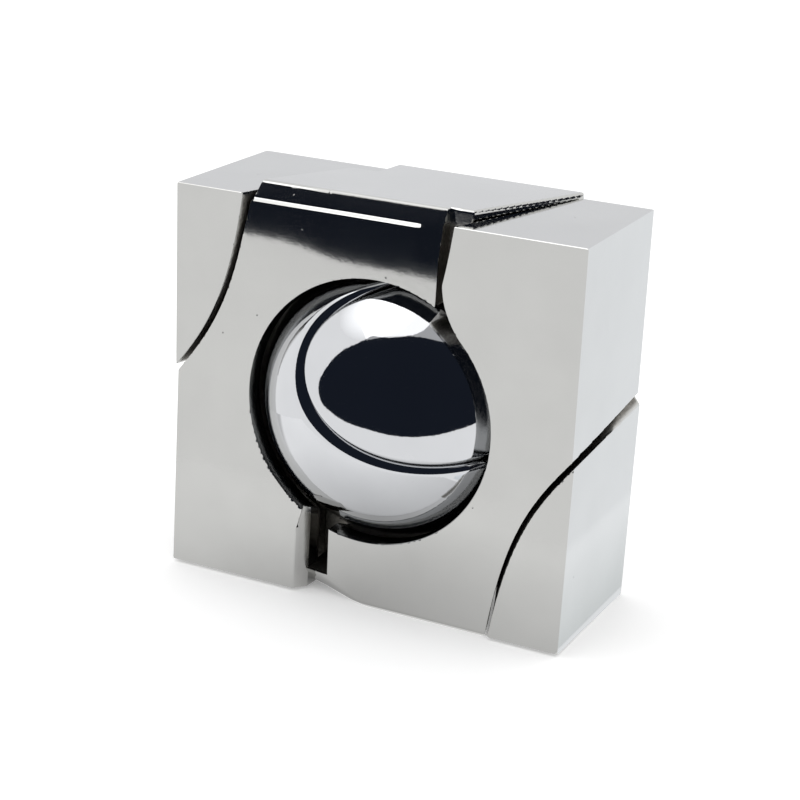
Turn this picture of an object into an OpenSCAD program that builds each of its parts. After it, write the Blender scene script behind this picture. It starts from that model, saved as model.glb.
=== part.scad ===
// Take-apart puzzle: a square metal block split in two by a twisted surface, with a split ball
// held captive behind its two round windows. Units are millimetres. Z is up, the front is -Y,
// and the origin is on the table under the middle of the block.

/* [Block] */
// Width of the block from side to side
block_w = 45; // [36:0.5:60]
// Height of the block
block_h = 42; // [34:0.5:56]
// Thickness of the block from front to back
block_d = 18.5; // [15:0.5:26]
// Radius of the outside edges
edge_r = 0.35; // [0.1:0.05:1]

/* [Twisted split] */
// Length over which the split between the two halves makes one full turn
split_pitch = 46.4; // [42:0.2:60]
// Gap left across the split
split_gap = 0.8; // [0.3:0.1:1.5]
// Turn by which the upper half is left loose against the lower half, in degrees
slack_turn = 2.12; // [0:0.02:4]

/* [Ball] */
// Diameter of the captive ball
ball_d = 30; // [24:0.5:34]
// Radial room between the ball and its seat
seat_room = 0.5; // [0.3:0.05:1]
// Diameter of the round windows, smaller than the ball
window_d = 27.6; // [20:0.2:29]
// Gap left across the split of the ball
ball_gap = 0.2; // [0.1:0.05:0.6]
// Turn of the ball away from the position in which its split lines up with the block's, in degrees
ball_turn = 86.77; // [0:0.1:180]

/* [Top middle block] */
// Height by which the top middle block stands above the plates beside it
top_proud = 0.8; // [0.3:0.05:1.5]
// Lean of its front face, in degrees
front_lean = 4.5; // [1:0.5:8]
// Height above the middle of the block at which the front face starts to lean
lean_from = 13; // [11:0.1:18]
// Radius of its rolled front edge
roll_r = 1.47; // [0.8:0.05:2]

/* [Corner pockets] */
// Distance from the middle to the straight wall on each inner corner of the corner blocks
wall_x = 7.6; // [7:0.1:9]
// Depth of that straight wall
wall_depth = 3.55; // [2:0.1:4]
// Distance from the middle to the side of the deep pocket facing that wall
deep_x = 3.8; // [3:0.1:6]
// Distance from the middle to the side of the shallow pocket
shallow_x = 6.65; // [6:0.05:7.5]
// Depth of the shallow pocket
shallow_depth = 2.25; // [1:0.05:3]
// Height above the middle at which the deep pocket ends
deep_end = 18.5; // [16:0.1:20]

/* [Hidden] */
seat_r = ball_d / 2 + seat_room;
window_r = window_d / 2;
front_y = block_d / 2;
top_z = block_h / 2;
// sideways shift that goes with the slack turn, as on a screw of the same pitch
slack_shift = split_pitch * slack_turn / 360;
// height of the middle of the block when it rests on one lower edge of each half
rest_z = (front_y - edge_r) * sin(slack_turn / 2) + (top_z - edge_r) * cos(slack_turn / 2)
    + edge_r;
// unit axis about which the ball has been turned
ball_axis = [-0.2508, 0.6410, 0.7255];
// room kept round the straight walls, sideways and in depth
wall_room = 0.7;
wall_behind = 1.5;
// points across the cutter, and slices along it
across = 16;
arc_steps = 4;
slices = 60;
roll_steps = 8;
round_fn = 96;

// Everything on one side of a twisted plane that turns about the X axis, as a closed body:
// each slice is a half disc of radius reach whose flat side lies gap / 2 off the axis.
module twisted_side(length, reach, gap, n_slice, n_across) {
    n_ring = n_across + arc_steps;
    function section(k) = k <= n_across
        ? [reach * (2 * k / n_across - 1), gap / 2]
        : reach * [
            cos(180 * (k - n_across) / arc_steps),
            sin(180 * (k - n_across) / arc_steps)
        ];
    function placed(x, p) = [
        x,
        p[0] * cos(360 * x / split_pitch) + p[1] * sin(360 * x / split_pitch),
        -p[0] * sin(360 * x / split_pitch) + p[1] * cos(360 * x / split_pitch)
    ];
    points = [
        for (i = [0 : n_slice])
            for (k = [0 : n_ring - 1])
                placed(length * (i / n_slice - 0.5), section(k))
    ];
    sides = [
        for (i = [0 : n_slice - 1])
            for (k = [0 : n_ring - 1])
                let (a = i * n_ring + k, b = i * n_ring + (k + 1) % n_ring)
                    each [[a, b + n_ring, b], [a, a + n_ring, b + n_ring]]
    ];
    // both ends are listed from a point on the round side
    near_end = [for (k = [0 : n_ring - 1]) (k + n_ring - 1) % n_ring];
    far_end = [for (k = [n_ring - 1 : -1 : 0]) n_slice * n_ring + k];
    polyhedron(points = points, faces = concat(sides, [near_end, far_end]), convexity = 4);
}

// Rounded rectangle with exact arcs at its corners.
module rounded_rect(w, h, r) {
    square([w - 2 * r, h], center = true);
    square([w, h - 2 * r], center = true);
    for (sx = [-1, 1])
        for (sy = [-1, 1])
            translate([sx * (w / 2 - r), sy * (h / 2 - r)])
                circle(r = r, $fn = 24);
}

// The whole block with its twelve edges rounded, its top raised by the given height.
module rounded_block(proud) {
    translate([0, 0, proud / 2])
        intersection() {
            rotate([90, 0, 0])
                linear_extrude(height = block_d, center = true)
                    rounded_rect(block_w, block_h + proud, edge_r);
            rotate([90, 0, 90])
                linear_extrude(height = block_w, center = true)
                    rounded_rect(block_d, block_h + proud, edge_r);
            linear_extrude(height = block_h + proud, center = true)
                rounded_rect(block_w, block_d, edge_r);
        }
}

// What the leaning face and the rolled edge take off the top middle block, in the Y Z plane.
module roll_profile() {
    top = top_z + top_proud;
    run = (top - roll_r - lean_from + roll_r * sin(front_lean)) / cos(front_lean);
    middle = [
        -front_y + run * sin(front_lean) + roll_r * cos(front_lean),
        top - roll_r
    ];
    arc = [
        for (i = [0 : roll_steps])
            let (a = 180 - front_lean - (90 - front_lean) * i / roll_steps)
                middle + roll_r * [cos(a), sin(a)]
    ];
    polygon(concat(
        [[-front_y - 1, lean_from], [-front_y, lean_from]],
        arc,
        [[middle[0], top + 1], [-front_y - 1, top + 1]]
    ));
}

// A box given by its lowest and highest corners.
module span(low, high) {
    translate(low)
        cube(high - low);
}

// One half of the block, centred: two lower corner blocks and the middle block above them.
// The two halves have the same shape except for the raised and rolled top of the lower one.
module block_half(proud) {
    difference() {
        intersection() {
            rounded_block(proud);
            union() {
                difference() {
                    twisted_side(block_w + 2, 26, split_gap, slices, across);
                    // room for the other half's straight wall
                    span(
                        [-wall_x - 6, front_y - wall_depth - wall_behind, 10],
                        [-wall_x + wall_room, front_y + 2, top_z + 3]
                    );
                }
                // straight wall on the inner corner of the left corner block
                span(
                    [-wall_x - 5, -front_y - 1, -top_z - 1],
                    [-wall_x, -front_y + wall_depth, -10.5]
                );
            }
        }
        sphere(r = seat_r, $fn = round_fn);
        rotate([90, 0, 0])
            cylinder(h = block_d + 2, r = window_r, center = true, $fn = round_fn);
        // deep pocket at the back left and shallow pocket at the front right
        span(
            [-wall_x - 1, front_y - wall_depth - wall_behind, 9],
            [-deep_x, front_y + 1, deep_end]
        );
        span(
            [shallow_x, -front_y - 1, 9],
            [shallow_x + 5, -front_y + shallow_depth, top_z + 3]
        );
        if (proud > 0)
            rotate([90, 0, 90])
                linear_extrude(height = block_w, center = true)
                    roll_profile();
    }
}

// One half of the ball, centred and lined up with the block's split.
module ball_half() {
    intersection() {
        sphere(d = ball_d, $fn = round_fn);
        twisted_side(ball_d + 2, ball_d / 2 + 2, ball_gap, 40, 10);
    }
}

// Lifts the middle of the block to the height at which the loose halves stand on the table.
module stand() {
    translate([0, 0, rest_z])
        children();
}

// The half whose middle block is at the top, tipped back by half the slack.
module lower_half() {
    color([0.8, 0.8, 0.79])
        stand()
            translate([slack_shift / 2, 0, 0])
                rotate([-slack_turn / 2, 0, 0])
                    block_half(top_proud);
}

// The other half, upside down, tipped forward by half the slack.
module upper_half() {
    color([0.76, 0.77, 0.78])
        stand()
            translate([-slack_shift / 2, 0, 0])
                rotate([180 + slack_turn / 2, 0, 0])
                    block_half(0);
}

// The ball sits midway between the two halves.
module ball_place() {
    stand()
        rotate(a = ball_turn, v = ball_axis)
            children();
}

module ball_half_one() {
    color([0.62, 0.64, 0.68])
        ball_place()
            ball_half();
}

module ball_half_two() {
    color([0.55, 0.57, 0.62])
        ball_place()
            rotate([180, 0, 0])
                ball_half();
}

lower_half();
upper_half();
ball_half_one();
ball_half_two();
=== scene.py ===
"""Looks for a take-apart puzzle: two polished castings split by a twisted surface, and a split ball.

Every new piece is the zero level of a field: a function that gives, for any point, roughly how far
it lies outside the piece. Fields are combined with soft maximums, so every edge is rolled over by
a real radius. The level is skinned on a regular grid as whole arrays, the points are pushed along
the field's slope until they lie on it, and the slope itself gives the shading normals.
"""

import math

import bpy
import numpy as np
from bpy.props import FloatProperty, FloatVectorProperty, PointerProperty
from mathutils import Matrix, Vector


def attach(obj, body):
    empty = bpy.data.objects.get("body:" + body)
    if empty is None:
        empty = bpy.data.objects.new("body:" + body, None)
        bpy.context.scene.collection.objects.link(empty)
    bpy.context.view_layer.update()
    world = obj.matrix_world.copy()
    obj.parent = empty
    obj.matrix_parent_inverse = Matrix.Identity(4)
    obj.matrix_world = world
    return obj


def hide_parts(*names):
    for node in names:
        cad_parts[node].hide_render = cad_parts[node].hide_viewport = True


bl_info = {
    "name": "Take-apart metal puzzle",
    "version": (1, 0, 0),
    "blender": (4, 5, 0),
    "location": "View3D > Sidebar > Puzzle",
    "description": "Builds the rounded castings, the split ball, their metals and a small studio",
    "category": "Add Mesh",
}

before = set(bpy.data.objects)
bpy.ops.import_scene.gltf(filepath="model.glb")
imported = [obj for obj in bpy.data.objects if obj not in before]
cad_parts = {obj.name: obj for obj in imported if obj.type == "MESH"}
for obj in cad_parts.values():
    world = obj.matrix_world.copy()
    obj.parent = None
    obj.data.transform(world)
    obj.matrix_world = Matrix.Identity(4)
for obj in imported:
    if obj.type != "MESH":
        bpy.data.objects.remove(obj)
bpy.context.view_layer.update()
MM = 0.001

# Everything below is in millimetres from the block's middle, in one casting's own directions.
# The leaned front of the raised middle block: where the lean starts and how softly, the small
# ledge and where it fades out, and the steeper slope above it.
LEAN_START, LEAN_SOFT = 16.8, 2.2
LEDGE_DEPTH, LEDGE_LOW, LEDGE_RISE = 0.36, 19.66, 0.46
FADE_END, FADE_WIDTH = 5.2, 1.6
SLOPE_LOW, SLOPE, SLOPE_SOFT = 20.0, 0.40, 0.1
# The straight wall at the front of the low left block, and the room for it in the other half.
WALL_LEFT, WALL_RIGHT, WALL_DEPTH, WALL_TOP = -12.6, -6.65, 3.55, -10.5
WALL_CORNER, WALL_ACROSS, WALL_BACK = -7.6, 0.83, 0.56
ROOM_RIGHT, ROOM_FOOT = -6.9, 10.0
# The deep pocket at the back of the middle block, and the shallow one at its front.
POCKET_FRONT, POCKET_FOOT = 4.2, 9.0
DEEP_LEFT, DEEP_RIGHT, DEEP_TOP = -8.6, -3.8, 18.5
SHALLOW_LEFT, SHALLOW_RIGHT, SHALLOW_DEPTH = 6.65, 11.65, 2.25
# The radius at which the outside edges stand on the table, which is larger than the drawn one.
REST_EDGE = 0.35


# ---------------------------------------------------------------- settings


class BlockSettings(bpy.types.PropertyGroup):
    """Sizes of the two block castings."""

    width: FloatProperty(name="Width", description="From side to side", default=0.045, unit="LENGTH")
    depth: FloatProperty(name="Depth", description="From front to back", default=0.0185, unit="LENGTH")
    height: FloatProperty(name="Height", description="Without the raised top", default=0.042,
                          unit="LENGTH")
    pitch: FloatProperty(name="Pitch", description="One full turn of the split", default=0.0464,
                         unit="LENGTH")
    gap: FloatProperty(name="Split gap", description="Gap across the split", default=0.0008, unit="LENGTH")
    edge: FloatProperty(name="Edge radius", description="Outside edges", default=0.00012, unit="LENGTH")
    window: FloatProperty(name="Window radius", description="Round windows", default=0.0138,
                          unit="LENGTH")
    seat: FloatProperty(name="Seat radius", description="Round seat of the ball", default=0.0155,
                        unit="LENGTH")
    proud: FloatProperty(name="Raised top", description="Middle block over the corner blocks",
                         default=0.0008, unit="LENGTH")
    lean: FloatProperty(name="Lean", description="Lean of the front under the roll",
                        default=math.radians(6), subtype="ANGLE")
    slack: FloatProperty(name="Slack", description="Turn between the two halves",
                         default=math.radians(2.12), subtype="ANGLE")
    cell: FloatProperty(name="Mesh cell", description="Grid step of the skin", default=0.0003,
                        unit="LENGTH")


class BallSettings(bpy.types.PropertyGroup):
    """Sizes and position of the split ball."""

    radius: FloatProperty(name="Radius", description="Outside of the ball", default=0.015,
                          unit="LENGTH")
    gap: FloatProperty(name="Split gap", description="Gap across the split", default=0.0004, unit="LENGTH")
    edge: FloatProperty(name="Edge radius", description="Rolled edges of the split",
                        default=0.0008, unit="LENGTH")
    turn: FloatProperty(name="Turn", description="Out of line with the block's split",
                        default=math.radians(86.77), subtype="ANGLE")
    axis: FloatVectorProperty(name="Axis", description="Axis of that turn",
                              default=(-0.2508, 0.6410, 0.7255), subtype="DIRECTION")
    cell: FloatProperty(name="Mesh cell", description="Grid step of the skin", default=0.0002,
                        unit="LENGTH")


class MetalSettings(bpy.types.PropertyGroup):
    """Colours and polish of the metals."""

    nickel: FloatVectorProperty(name="Nickel", description="Polished castings",
                                default=(0.565, 0.565, 0.552), subtype="COLOR")
    ball: FloatVectorProperty(name="Ball", description="Mirror polished ball",
                              default=(0.655, 0.665, 0.685), subtype="COLOR")
    inside: FloatVectorProperty(name="Inside", description="Unpolished inner faces",
                                default=(0.33, 0.315, 0.285), subtype="COLOR")


class StageSettings(bpy.types.PropertyGroup):
    """Studio round the puzzle."""

    sky: FloatProperty(name="Surround", description="Brightness of the white surround", default=1.05)
    lamp: FloatProperty(name="Lamp", description="Power of the overhead lamp", default=0.5, unit="POWER")
    # the bright card paints a highlight of the overhead light into the metal's reflections
    card: FloatProperty(name="Bright card", description="Brightness of the card overhead", default=2.2)
    # the dark cards paint the dark room into the metal's reflections
    dark: FloatVectorProperty(name="Dark card", description="Colour of the dark cards",
                              default=(0.011, 0.014, 0.022), subtype="COLOR")


def settings():
    """The four groups of settings, kept on the scene."""
    sc = bpy.context.scene
    return sc.puzzle_block, sc.puzzle_ball, sc.puzzle_metal, sc.puzzle_stage


# ---------------------------------------------------------------- fields


def soft_max(a, b, r):
    """Larger of two distances, with the corner replaced by a quarter circle of radius r."""
    u = np.maximum(a + r, 0)
    v = np.maximum(b + r, 0)
    return np.minimum(-r, np.maximum(a, b)) + np.hypot(u, v)


def ease(t):
    """Smooth step from 0 to 1 as t goes from 0 to 1."""
    t = np.clip(t, 0, 1)
    return t * t * (3 - 2 * t)


def box_field(p, low, high, r):
    """Distance outside a box with rounded edges: the distance to its shrunken core, less r."""
    low, high = np.asarray(low, float), np.asarray(high, float)
    q = np.abs(p - (low + high) / 2) - (high - low) / 2 + r
    out = np.sqrt((np.maximum(q, 0) ** 2).sum(-1))
    return out + np.minimum(q.max(-1), 0) - r


def twist_field(p, pitch, gap):
    """Distance outside one side of a plane that turns steadily about X, gap / 2 away from it.

    The plane's equation is z cos(t) + y sin(t) = 0 with t = 2 pi x / pitch, and dividing by the
    length of its slope turns the value into a distance.
    """
    k = 2 * math.pi / pitch
    c, s = np.cos(k * p[..., 0]), np.sin(k * p[..., 0])
    side = p[..., 2] * c + p[..., 1] * s
    across = p[..., 1] * c - p[..., 2] * s
    return (gap / 2 - side) / np.sqrt(1 + (k * across) ** 2)


def front_back(x, z, b):
    """How far the front of the raised middle block stands back, by height and by place across.

    It is a smooth run from upright into the lean, then one small smooth ledge, which towards the
    right is spread over a greater height, and then a steeper straight slope up to the top edge.
    """
    start = LEAN_START + ease((-3 - x) / 8)
    t = np.clip((z - start + LEAN_SOFT) / (2 * LEAN_SOFT), 0, None)
    run = math.tan(b.lean) * np.where(t < 1, LEAN_SOFT * t * t, z - start)
    fade = ease((FADE_END - x) / FADE_WIDTH)
    crisp, spread = ease((z - LEDGE_LOW) / LEDGE_RISE), ease((z - 16.4) / 3.6)
    ledge = LEDGE_DEPTH * (fade * crisp + (1 - fade) * spread)
    rise = np.maximum(z - SLOPE_LOW, 0)
    return run + ledge + SLOPE * (np.hypot(rise, SLOPE_SOFT) - SLOPE_SOFT)


def body_field(p, b, proud):
    """Outside of the whole block in millimetres, its top raised by proud and its front leaned back.

    Without the raised top, the top edge at the back is rolled instead, more and more to the left.
    """
    w, d, h = b.width / MM / 2, b.depth / MM / 2, b.height / MM / 2
    outer = box_field(p, (-w, -d, -h), (w, d, h + proud), b.edge / MM)
    x, y, z = p[..., 0], p[..., 1], p[..., 2]
    if proud <= 0:
        roll = 0.05 + 4.6 * ease((2.0 - x) / 10)
        return np.maximum(outer, soft_max(y - d, z - h, roll))
    steep = (front_back(x, z + 0.01, b) - front_back(x, z - 0.01, b)) / 0.02
    front = (front_back(x, z, b) - d - y) / np.sqrt(1 + steep ** 2)
    return np.maximum(outer, soft_max(front, z - h - proud, 0.3))


def casting_field(p, b, proud):
    """One half of the block in millimetres, centred: two low corner blocks and a high middle block.

    It is the block, cut to one side of the twist, less the round windows, the ball's seat, the
    pockets and the room for the other half's straight wall, and with its own straight wall added.
    """
    x, y, z = p[..., 0], p[..., 1], p[..., 2]
    d = b.depth / MM / 2
    body = body_field(p, b, proud)
    split = twist_field(p, b.pitch / MM, b.gap / MM)
    room = np.maximum.reduce([x - ROOM_RIGHT, POCKET_FRONT - y, ROOM_FOOT - z])
    split = soft_max(split, -room, 0.2)
    slant = (x - WALL_CORNER) * WALL_ACROSS - (y + d) * WALL_BACK
    wall = np.maximum.reduce([slant, x - WALL_RIGHT, y + d - WALL_DEPTH, z - WALL_TOP, WALL_LEFT - x])
    split = np.minimum(split, wall)
    deep = np.maximum.reduce(
        [x - DEEP_RIGHT, DEEP_LEFT - x, POCKET_FRONT - y, POCKET_FOOT - z, z - DEEP_TOP]
    )
    shallow = np.maximum.reduce(
        [SHALLOW_LEFT - x, x - SHALLOW_RIGHT, y + d - SHALLOW_DEPTH, POCKET_FOOT - z]
    )
    split = soft_max(split, -deep, 0.25)
    split = soft_max(split, -shallow, 0.12)
    # the free corner between window and split on the back of the low right block is well rounded
    near = np.sqrt((x - 9.5) ** 2 + (y - d) ** 2 * 0.3 + (z + 11) ** 2)
    plan = 0.12 + 3.6 * ease((7.5 - near) / 4)
    window = b.window / MM - np.hypot(x, z)
    split = soft_max(split, window, plan)
    split = soft_max(split, b.seat / MM - np.sqrt(x * x + y * y + z * z), 0.2)
    # the raised top is rolled a little more along its right side
    edge = b.edge / MM + 0.3 * ease((z - 20) / 1.2) * ease((x - 6.4) / 1.5)
    return soft_max(body, split, edge)


def ball_field(p, s, pitch):
    """One half of the ball in millimetres, centred and in line with the block's split."""
    ball = np.sqrt((p ** 2).sum(-1)) - s.radius / MM
    return soft_max(ball, twist_field(p, pitch / MM, s.gap / MM), s.edge / MM)


# ---------------------------------------------------------------- skin


def unit(v):
    """Vectors scaled to length one."""
    return v / np.maximum(np.linalg.norm(v, axis=-1), 1e-9)[..., None]


def slope_of(field, p, h=0.01):
    """Slope of a field by central differences along the three axes."""
    g = np.empty_like(p)
    for k in range(3):
        d = np.zeros(3)
        d[k] = h
        g[:, k] = (field(p + d) - field(p - d)) / (2 * h)
    return g


def skin(field, low, high, step, crisp):
    """Closed quad mesh of the zero level of a field between two corners.

    A grid edge whose ends differ in sign is crossed by the surface: the crossing is found along
    the edge, with the slope there. It gives one quad, which joins the four cells round the edge
    and faces the outside. Each cell's point is the one nearest to all the tangent planes of its
    crossings, in the least squares sense, so it falls on an arris where there is one. The points
    are then pushed along the slope onto the level. A quad's corner is shaded by the slope there,
    or by the slope most of the way towards the quad's middle where the two differ by more than
    crisp degrees, so that an arris stays clean.
    """
    axes = [np.arange(a - 1.5 * step, b + 1.5 * step, step) for a, b in zip(low, high)]
    origin = np.array([ax[0] for ax in axes])
    inside = field(np.stack(np.meshgrid(*axes, indexing="ij"), -1)) < 0
    shape = np.array(inside.shape)
    n = shape - 1
    count = sum(
        inside[i: i + n[0], j: j + n[1], k: k + n[2]].astype(np.int8)
        for i in (0, 1) for j in (0, 1) for k in (0, 1)
    )
    cells = np.argwhere((count > 0) & (count < 8))
    number = np.full(n, -1)
    number[tuple(cells.T)] = np.arange(len(cells))
    quads, crossings = [], []
    for k in range(3):
        u, v, w = np.eye(3, dtype=int)[[k, (k + 1) % 3, (k + 2) % 3]]
        here = inside[: shape[0] - u[0], : shape[1] - u[1], : shape[2] - u[2]]
        there = inside[u[0]:, u[1]:, u[2]:]
        at = np.argwhere(here != there)
        ring = np.stack([number[tuple(q.T)] for q in (at - v - w, at - w, at, at - v)], -1)
        flip = there[tuple(at.T)]
        ring[flip] = ring[flip][:, ::-1]
        quads.append(ring)
        near, far = np.zeros(len(at)), np.ones(len(at))
        start = origin + at * step
        for _ in range(9):
            half = (near + far) / 2
            same = (field(start + half[:, None] * u * step) < 0) == ~flip
            near, far = np.where(same, half, near), np.where(same, far, half)
        crossings.append(start + near[:, None] * u * step)
    quads, crossings = np.concatenate(quads), np.concatenate(crossings)
    planes = unit(slope_of(field, crossings))
    middle = np.zeros((len(cells), 3))
    shares = np.bincount(quads.ravel(), minlength=len(cells)).astype(float)
    normal_part = np.zeros((len(cells), 3, 3))
    right_part = np.zeros((len(cells), 3))
    offset = (planes * crossings).sum(-1)
    for c in range(4):
        who = quads[:, c]
        for i in range(3):
            middle[:, i] += np.bincount(who, crossings[:, i], len(cells))
            right_part[:, i] += np.bincount(who, planes[:, i] * offset, len(cells))
            for j in range(3):
                normal_part[:, i, j] += np.bincount(who, planes[:, i] * planes[:, j], len(cells))
    middle /= np.maximum(shares, 1)[:, None]
    pull = 0.01  # draws the point a little towards the middle of its crossings
    normal_part += pull * np.eye(3)
    points = np.linalg.solve(normal_part, (right_part + pull * middle)[..., None])[..., 0]
    centre = origin + (cells + 0.5) * step
    reach = 0.95 * step
    points = centre + np.clip(points - centre, -reach, reach)
    for _ in range(3):
        g = slope_of(field, points)
        move = -(field(points) / np.maximum((g ** 2).sum(-1), 0.05))[:, None] * g
        points = points + np.clip(move, -0.2 * step, 0.2 * step)
    round_normals = unit(slope_of(field, points))[quads]
    ring = points[quads]
    share = 0.85  # of the way from the corner to the quad's middle
    towards = ring * (1 - share) + ring.mean(1, keepdims=True) * share
    flat_normals = unit(slope_of(field, towards.reshape(-1, 3))).reshape(ring.shape)
    differ = 1 - (round_normals * flat_normals).sum(-1, keepdims=True)
    normals = np.where(differ > 1 - math.cos(math.radians(crisp)), flat_normals, round_normals)
    return points, quads, normals


def put_in(name, points, quads, normals, place, inner, body, nodes, metal):
    """Makes the mesh object of one piece, in metres and in place, and hands it to the frame."""
    turn, shift = place
    points = points @ turn.T + shift
    normals = normals.reshape(-1, 3) @ turn.T
    mesh = bpy.data.meshes.new(name)
    mesh.vertices.add(len(points))
    mesh.vertices.foreach_set("co", (points * MM).astype(np.float32).ravel())
    mesh.loops.add(quads.size)
    mesh.loops.foreach_set("vertex_index", quads.astype(np.int32).ravel())
    mesh.polygons.add(len(quads))
    mesh.polygons.foreach_set("loop_start", np.arange(0, quads.size, 4, dtype=np.int32))
    mesh.update(calc_edges=True)
    mesh.attributes.new("inner", "FLOAT", "POINT").data.foreach_set("value", inner.astype(np.float32))
    mesh.polygons.foreach_set("use_smooth", np.ones(len(mesh.polygons), bool))
    mesh.normals_split_custom_set(normals.tolist())
    mesh.materials.append(metal)
    piece = bpy.data.objects.new(name, mesh)
    bpy.context.scene.collection.objects.link(piece)
    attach(piece, body)
    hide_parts(*nodes)
    return piece


def turn_about(axis, angle):
    """Rotation matrix as an array."""
    return np.array(Matrix.Rotation(angle, 3, Vector(axis).normalized()))


def rest_height(b):
    """Height of the block's middle in millimetres when one low edge of each half is on the table."""
    e, d, h = REST_EDGE, b.depth / MM / 2, b.height / MM / 2
    return (d - e) * math.sin(b.slack / 2) + (h - e) * math.cos(b.slack / 2) + e


# ---------------------------------------------------------------- shader nodes


class Wire:
    """One socket of a shader tree. Arithmetic on it adds Math nodes."""

    def __init__(self, tree, socket):
        self.tree = tree
        self.socket = socket

    def node(self, kind, out=0, settings=None, **inputs):
        """Adds any node: its settings are set first, then its inputs by name or _number."""
        made = self.tree.nodes.new(kind)
        for key, value in (settings or {}).items():
            setattr(made, key, value)
        for key, value in inputs.items():
            slot_in = made.inputs[int(key[1:])] if key[0] == "_" else made.inputs[key.replace("_", " ")]
            if isinstance(value, Wire):
                self.tree.links.new(value.socket, slot_in)
            else:
                slot_in.default_value = value
        return Wire(self.tree, made.outputs[out])

    def math(self, operation, *values):
        named = {f"_{k}": v for k, v in enumerate(values)}
        return self.node("ShaderNodeMath", settings={"operation": operation}, **named)

    def __add__(self, other):
        return self.math("ADD", self, other)

    def __sub__(self, other):
        return self.math("SUBTRACT", self, other)

    def __mul__(self, other):
        return self.math("MULTIPLY", self, other)

    def __rsub__(self, other):
        return self.math("SUBTRACT", other, self)

    __radd__ = __add__
    __rmul__ = __mul__

    def between(self, low, high):
        """0 below low, 1 above high, straight in between."""
        return self.node("ShaderNodeMapRange", Value=self, From_Min=low, From_Max=high)

    def mix(self, a, b):
        """Colour a where this is 0 and colour b where it is 1."""
        return self.node("ShaderNodeMix", out=2, settings={"data_type": "RGBA"}, _0=self, _6=a, _7=b)


def start_material(name):
    """A new material with an empty tree, its surface shader and its Object coordinates."""
    material = bpy.data.materials.new(name)
    material.use_nodes = True
    tree = material.node_tree
    tree.nodes.clear()
    out = tree.nodes.new("ShaderNodeOutputMaterial")
    shader = tree.nodes.new("ShaderNodeBsdfPrincipled")
    tree.links.new(shader.outputs[0], out.inputs[0])
    coordinates = Wire(tree, tree.nodes.new("ShaderNodeTexCoord").outputs["Object"])
    return material, shader, coordinates


def join(shader, name, wire):
    """Links a wire to an input of the surface shader."""
    wire.tree.links.new(wire.socket, shader.inputs[name])


def nickel(name, colour, inside, rough, wave, seed):
    """Polished casting: faint clouding, fine pits and orange peel, and dull dark inner faces.

    The bump's height is in millimetres: wave is the orange peel's, over 6 mm and over 1 mm.
    """
    material, shader, at = start_material(name)
    shader.inputs["Metallic"].default_value = 1.0
    shifted = at.node("ShaderNodeVectorMath", settings={"operation": "ADD"}, _0=at, _1=(seed, 0.0, 0.0))
    inner = at.node("ShaderNodeAttribute", out=2, settings={"attribute_name": "inner"})
    cloud = at.node("ShaderNodeTexNoise", Vector=shifted, Scale=110.0, Detail=3.0, Roughness=0.6)
    grain = at.node("ShaderNodeTexNoise", Vector=shifted, Scale=2600.0, Detail=4.0, Roughness=0.7)
    swell = at.node("ShaderNodeTexNoise", Vector=shifted, Scale=170.0, Detail=1.0, Roughness=0.4)
    peel = at.node("ShaderNodeTexNoise", Vector=shifted, Scale=950.0, Detail=3.0, Roughness=0.6)
    pit = at.node("ShaderNodeTexVoronoi", Vector=shifted, Scale=480.0)
    spot = at.node("ShaderNodeTexNoise", Vector=shifted, Scale=420.0, Detail=0.0)
    pits = (1 - pit.between(0.02, 0.06)) * spot.between(0.58, 0.62)
    shade = cloud.between(0.3, 0.7)
    dark = tuple(c * 0.94 for c in colour)
    polished = shade.mix((*dark, 1.0), (*colour, 1.0))
    pitted = (pits * 0.6).mix(polished, (*(c * 0.3 for c in colour), 1.0))
    cast_face = grain.between(0.3, 0.7).mix((*(c * 0.45 for c in inside), 1.0), (*inside, 1.0))
    join(shader, "Base Color", inner.mix(pitted, cast_face))
    join(shader, "Roughness", rough + shade * (rough * 0.5) + pits * 0.2 + inner * 0.35)
    height = swell * (wave * 2.2) + peel * wave + inner * grain * 0.02 - pits * 0.012
    join(shader, "Normal", at.node("ShaderNodeBump", Strength=1.0, Distance=0.001, Height=height))
    return material


def plain(name, colour, glow):
    """Flat material of the studio: a matt colour with a steady glow of its own."""
    material, shader, _ = start_material(name)
    shader.inputs["Base Color"].default_value = (*colour, 1.0)
    shader.inputs["Roughness"].default_value = 0.6
    shader.inputs["Specular IOR Level"].default_value = 0.0
    shader.inputs["Emission Color"].default_value = (*glow, 1.0)
    shader.inputs["Emission Strength"].default_value = 1.0
    return material


def glowing(name):
    """A new material that only glows. Its Emission Color is still to be linked."""
    material, shader, coordinates = start_material(name)
    shader.inputs["Base Color"].default_value = (0, 0, 0, 1)
    shader.inputs["Emission Strength"].default_value = 1.0
    return material, shader, coordinates


# ---------------------------------------------------------------- operators


def dullness(p, b):
    """How unpolished an inner face is: the window's wall and the slanted wall are nearly bright."""
    x, y, z = p[:, 0], p[:, 1], p[:, 2]
    d = b.depth / MM / 2
    window = ease((0.12 - np.abs(np.hypot(x, z) - b.window / MM)) / 0.06)
    wall = ease((-6.5 - x) / 0.1) * ease((-10 - z) / 0.5) * ease((-y - d + 3.4) / 0.3)
    rolled = ease((z - 19.8) / 0.8) * ease((x - 6.2) / 0.6)
    return 1 - np.maximum(0.85 * np.maximum(window, wall), rolled)


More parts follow.
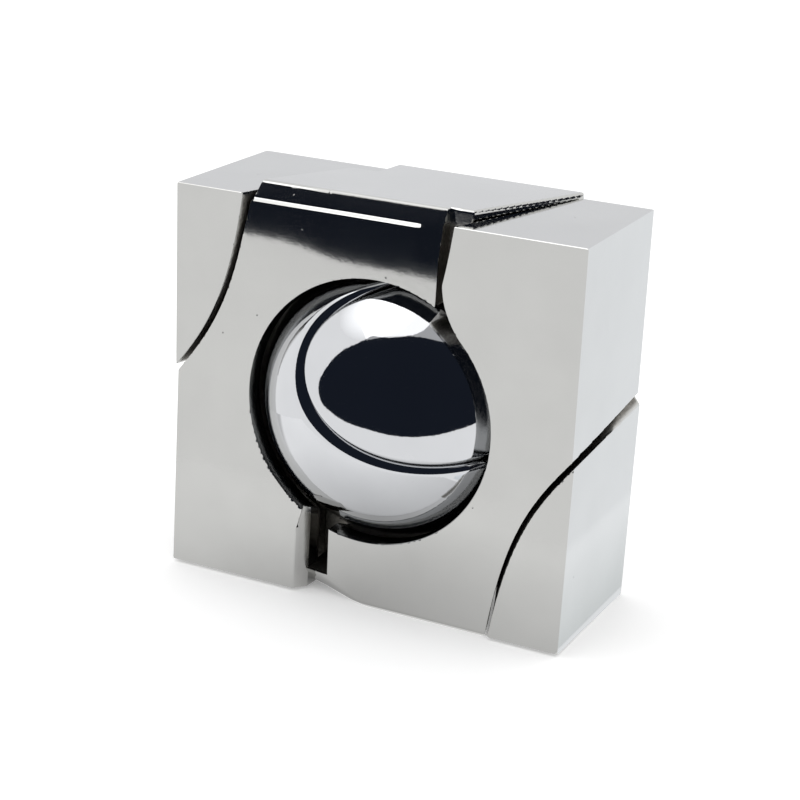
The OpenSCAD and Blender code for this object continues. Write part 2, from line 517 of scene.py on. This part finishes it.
def cast(name, node, body, turn, sign, proud, seed):
    """Skins one block casting and puts it in place, turned and shifted by its share of the slack."""
    b, _, metal, _ = settings()
    w, d, h = b.width / MM / 2, b.depth / MM / 2, b.height / MM / 2

    def field(p):
        return casting_field(p, b, proud)

    points, quads, normals = skin(field, (-w, -d, -h), (w, d, h + proud), b.cell / MM, 4)
    inner = ease((-body_field(points, b, proud) - 0.1) / 0.3) * dullness(points, b)
    shift = b.pitch / MM * b.slack / (2 * math.pi) / 2
    place = turn_about((1, 0, 0), turn), np.array((sign * shift, 0, rest_height(b)))
    finish = nickel(name + "_nickel", metal.nickel, metal.inside, 0.07, 0.0045, seed)
    put_in(name, points, quads, normals, place, inner, body, [node], finish)


class PUZZLE_OT_lower_casting(bpy.types.Operator):
    """Makes the half of the block whose middle block is at the top"""

    bl_idname = "puzzle.lower_casting"
    bl_label = "Lower casting"

    def execute(self, context):
        b = settings()[0]
        cast("lower_casting", "lower_half", "lower_block", -b.slack / 2, 1, b.proud / MM, 0.0)
        return {"FINISHED"}


class PUZZLE_OT_upper_casting(bpy.types.Operator):
    """Makes the other half of the block, which is the same casting upside down"""

    bl_idname = "puzzle.upper_casting"
    bl_label = "Upper casting"

    def execute(self, context):
        b = settings()[0]
        turn = math.pi + b.slack / 2
        cast("upper_casting", "upper_half", "upper_block", turn, -1, 0.0, 0.3)
        return {"FINISHED"}


class PUZZLE_OT_ball(bpy.types.Operator):
    """Makes the two halves of the captive ball"""

    bl_idname = "puzzle.ball"
    bl_label = "Split ball"

    def execute(self, context):
        b, s, metal, _ = settings()

        def field(p):
            return ball_field(p, s, b.pitch)

        r = s.radius / MM
        points, quads, normals = skin(field, (-r, -r, -r), (r, r, r), s.cell / MM, 25)
        inner = ease((r - np.linalg.norm(points, axis=1) - 0.45) / 0.6)
        finish = nickel("ball_mirror", metal.ball, metal.inside, 0.03, 0.004, 0.7)
        turn = turn_about(s.axis, s.turn)
        shift = np.array((0, 0, rest_height(b)))
        halves = (("ball_half_front", "ball_half_one", 0.0), ("ball_half_rear", "ball_half_two", math.pi))
        for name, node, half in halves:
            place = turn @ turn_about((1, 0, 0), half), shift
            put_in(name, points, quads, normals, place, inner, "ball", [node], finish)
        return {"FINISHED"}


def card(name, corners, material):
    """A flat or bent card on the stage: a strip between two rows of points."""
    low, high = np.asarray(corners, float)
    n = len(low)
    k = np.arange(n - 1)
    mesh = bpy.data.meshes.new(name)
    faces = np.stack([k, k + 1, k + 1 + n, k + n], -1)
    mesh.from_pydata(np.concatenate([low, high]).tolist(), [], faces.tolist())
    mesh.materials.append(material)
    made = bpy.data.objects.new(name, mesh)
    bpy.context.scene.collection.objects.link(made)
    return made


def only_in_gloss(made):
    """Hides a stage object from everything but mirror reflections."""
    made.visible_camera = False
    made.visible_diffuse = False
    made.visible_shadow = False
    made.visible_transmission = False
    made.visible_volume_scatter = False


def polar(radius, degrees, z):
    """Points on a circle about the origin: 0 degrees is the front, positive to the right."""
    a = np.radians(degrees)
    return np.stack([radius * np.sin(a), -radius * np.cos(a), np.broadcast_to(z, np.shape(a))], -1)


def far_patch(degrees, low, high):
    """Two rows of points on a sphere of 3 m: the lowest and highest elevation at each direction."""
    rows = []
    for up in (low, high):
        e = np.radians(up)
        rows.append(polar(3 * np.cos(e), degrees, 3 * np.sin(e)))
    return rows


def glow_patch(name, azimuth, elevation, colour, inner, outer):
    """A round far glow in one direction, which melts into the white surround between two angles: a painted
    reflection for the metal.

    It is a shallow cone whose tip and rim lie on a sphere of 3.2 m. How far a direction is from the
    tip's is the distance between the two on the unit sphere, which is twice the sine of half the angle.
    """
    material, shader, place = glowing(name)
    e, a = math.radians(elevation), math.radians(outer)
    aim = polar(math.cos(e), azimuth, math.sin(e))
    heading = place.node("ShaderNodeVectorMath", settings={"operation": "NORMALIZE"}, _0=place)
    tip = tuple(aim.tolist())
    away = heading.node(
        "ShaderNodeVectorMath", out=1, settings={"operation": "DISTANCE"}, _0=heading, _1=tip
    )
    rim = away.between(2 * math.sin(math.radians(inner) / 2), 2 * math.sin(a / 2))
    sky = settings()[3].sky
    join(shader, "Emission Color", rim.mix((*colour, 1.0), (sky, sky, sky, 1.0)))
    side = unit(np.cross(aim, (0, 0, 1)))
    top = np.cross(side, aim)
    t = np.linspace(0, 2 * math.pi, 49)[:, None]
    ring = math.cos(a) * aim + math.sin(a) * (np.cos(t) * side + np.sin(t) * top)
    radius = 3.2
    return card(name, [ring * radius, np.broadcast_to(aim * radius, ring.shape)], material)


def contact_card(name, low, high, shade):
    """A strip of table beside the block, as its faces mirror it: a glowing card with the table's shade
    painted into it, whose glow by place is given by shade.
    """
    material, shader, place = glowing(name)
    across = place.node("ShaderNodeSeparateXYZ", out=0, _0=place)
    depth = place.node("ShaderNodeSeparateXYZ", out=1, _0=place)
    join(shader, "Emission Color", shade(across, depth))
    rows = [[(x, y, 0.0002) for x in (low[0], high[0])] for y in (low[1], high[1])]
    return card(name, rows, material)


def front_shade(across, depth):
    """Painted shade: dark at the foot of the front, most in the middle of the width, and darker
    underneath, as the table's shade near the block shows in the front's reflections.
    """
    away = (-0.0095 - depth).between(0.0, 0.024)
    along = across.between(-0.030, -0.002) * (1 - across.between(0.0, 0.018) * 0.45)
    under = (depth + 0.0095).between(0.0, 0.003)
    return 1.05 - (1 - away) * (along * 0.44 + 0.04) - under * 0.42


def side_shade(across, depth):
    """Painted shade: slightly dark at the foot of the right side, then a painted cool white reflection,
    brighter than the surround.
    """
    away = (across - 0.0228).between(0.0, 0.008)
    return away.mix((0.80, 0.84, 0.86, 1.0), (1.10, 1.13, 1.17, 1.0))


class PUZZLE_OT_stage(bpy.types.Operator):
    """Makes the white table, the surround, the lamp, the cards for reflections and the camera"""

    bl_idname = "puzzle.stage"
    bl_label = "Studio"

    def execute(self, context):
        st = settings()[3]
        sc = context.scene
        sc.view_settings.view_transform = "Standard"
        world = bpy.data.worlds.new("white_surround")
        world.use_nodes = True
        sky = world.node_tree.nodes["Background"]
        sky.inputs[0].default_value = (1, 1, 1, 1)
        sky.inputs[1].default_value = st.sky
        sc.world = world

        white = plain("white_table", (0.94, 0.94, 0.94), glow=(0.16, 0.16, 0.16))
        table = card("table_top", [[(-2, -2, 0), (2, -2, 0)], [(-2, 2, 0), (2, 2, 0)]], white)
        table.visible_glossy = False

        # the dark end of the room in front, painted into the metal's reflections as a dark card seen only
        # there: its lowest and highest elevation by direction
        dark = plain("dark_card", (0, 0, 0), glow=tuple(st.dark))
        at = np.linspace(-50, 140, 96)
        knots = (-50, -47, -42, -24, 10, 25, 50, 78, 100, 140)
        low = np.interp(at, knots, (8, 0, -5, -11.5, -17, -18, -16, -10, -6, 20))
        high = np.interp(at, knots, (10, 24, 35, 54, 60, 62, 66, 72, 70, 22))
        room = card("dark_room", far_patch(at, low, high), dark)
        # painted highlight of the overhead light on the ball, as a glowing card seen only in reflections
        ceiling = glow_patch("bright_ceiling", -59, 69, (st.card,) * 3, 2, 26)
        # painted shade on the top faces, as a dimmer glow behind, seen only in reflections
        rear = glow_patch("pale_backdrop", 205, 19, (0.90, 0.91, 0.94), 15, 29)
        # painted reflection that lightens the right side, as a brighter cool glow low behind it, seen only
        # in reflections
        cool = glow_patch("cool_floor", 155, -19, (1.10, 1.13, 1.17), 15, 29)
        # painted shade of the table at the foot of the front, seen only in reflections
        foot = contact_card("shaded_table", (-0.06, -0.0395), (0.0222, 0.0), front_shade)
        # painted shade at the foot of the right side, then a painted bright reflection, seen only in
        # reflections
        beside = contact_card("shaded_side", (0.0232, -0.012), (0.032, 0.05), side_shade)
        for made in (room, ceiling, rear, cool, foot, beside):
            only_in_gloss(made)

        lamp = bpy.data.lights.new("overhead_lamp", "AREA")
        lamp.shape = "RECTANGLE"
        lamp.size = 0.8
        lamp.size_y = 0.40
        lamp.energy = st.lamp
        hung = bpy.data.objects.new("overhead_lamp", lamp)
        turned = math.radians(25)
        hung.location = (0.12 * math.sin(turned), -0.12 * math.cos(turned), 0.6)
        hung.rotation_euler = (0, 0, turned)
        sc.collection.objects.link(hung)

        camera = bpy.data.cameras.new("camera")
        camera.lens = 90.1
        camera.sensor_width = 36
        camera.clip_start = 0.01
        eye = bpy.data.objects.new("camera", camera)
        forward = Vector((-0.403, 0.859, -0.317)).normalized()
        right = Vector((0.897, 0.440, 0.051))
        right = (right - forward * right.dot(forward)).normalized()
        up = right.cross(forward)
        turn = Matrix((right, up, -forward)).transposed().to_4x4()
        eye.matrix_world = Matrix.Translation((0.084281, -0.181113, 0.086838)) @ turn
        sc.collection.objects.link(eye)
        sc.camera = eye
        return {"FINISHED"}


class PUZZLE_PT_panel(bpy.types.Panel):
    """Lists the puzzle's operators and settings"""

    bl_idname = "PUZZLE_PT_panel"
    bl_label = "Take-apart puzzle"
    bl_space_type = "VIEW_3D"
    bl_region_type = "UI"
    bl_category = "Puzzle"

    def draw(self, context):
        for made in OPERATORS:
            self.layout.operator(made.bl_idname)
        for group in ("puzzle_block", "puzzle_ball", "puzzle_metal", "puzzle_stage"):
            held = getattr(context.scene, group)
            column = self.layout.column(align=True)
            for key in held.__annotations__:
                column.prop(held, key)


OPERATORS = (
    PUZZLE_OT_lower_casting,
    PUZZLE_OT_upper_casting,
    PUZZLE_OT_ball,
    PUZZLE_OT_stage,
)
GROUPS = {
    "puzzle_block": BlockSettings,
    "puzzle_ball": BallSettings,
    "puzzle_metal": MetalSettings,
    "puzzle_stage": StageSettings,
}


def register():
    for made in (*GROUPS.values(), *OPERATORS, PUZZLE_PT_panel):
        bpy.utils.register_class(made)
    for key, group in GROUPS.items():
        setattr(bpy.types.Scene, key, PointerProperty(type=group))


def unregister():
    for key in GROUPS:
        delattr(bpy.types.Scene, key)
    for made in (PUZZLE_PT_panel, *reversed(OPERATORS), *GROUPS.values()):
        bpy.utils.unregister_class(made)


def main():
    """Builds everything in order."""
    register()
    bpy.ops.puzzle.lower_casting()
    bpy.ops.puzzle.upper_casting()
    bpy.ops.puzzle.ball()
    bpy.ops.puzzle.stage()


if __name__ == "__main__":
    main()
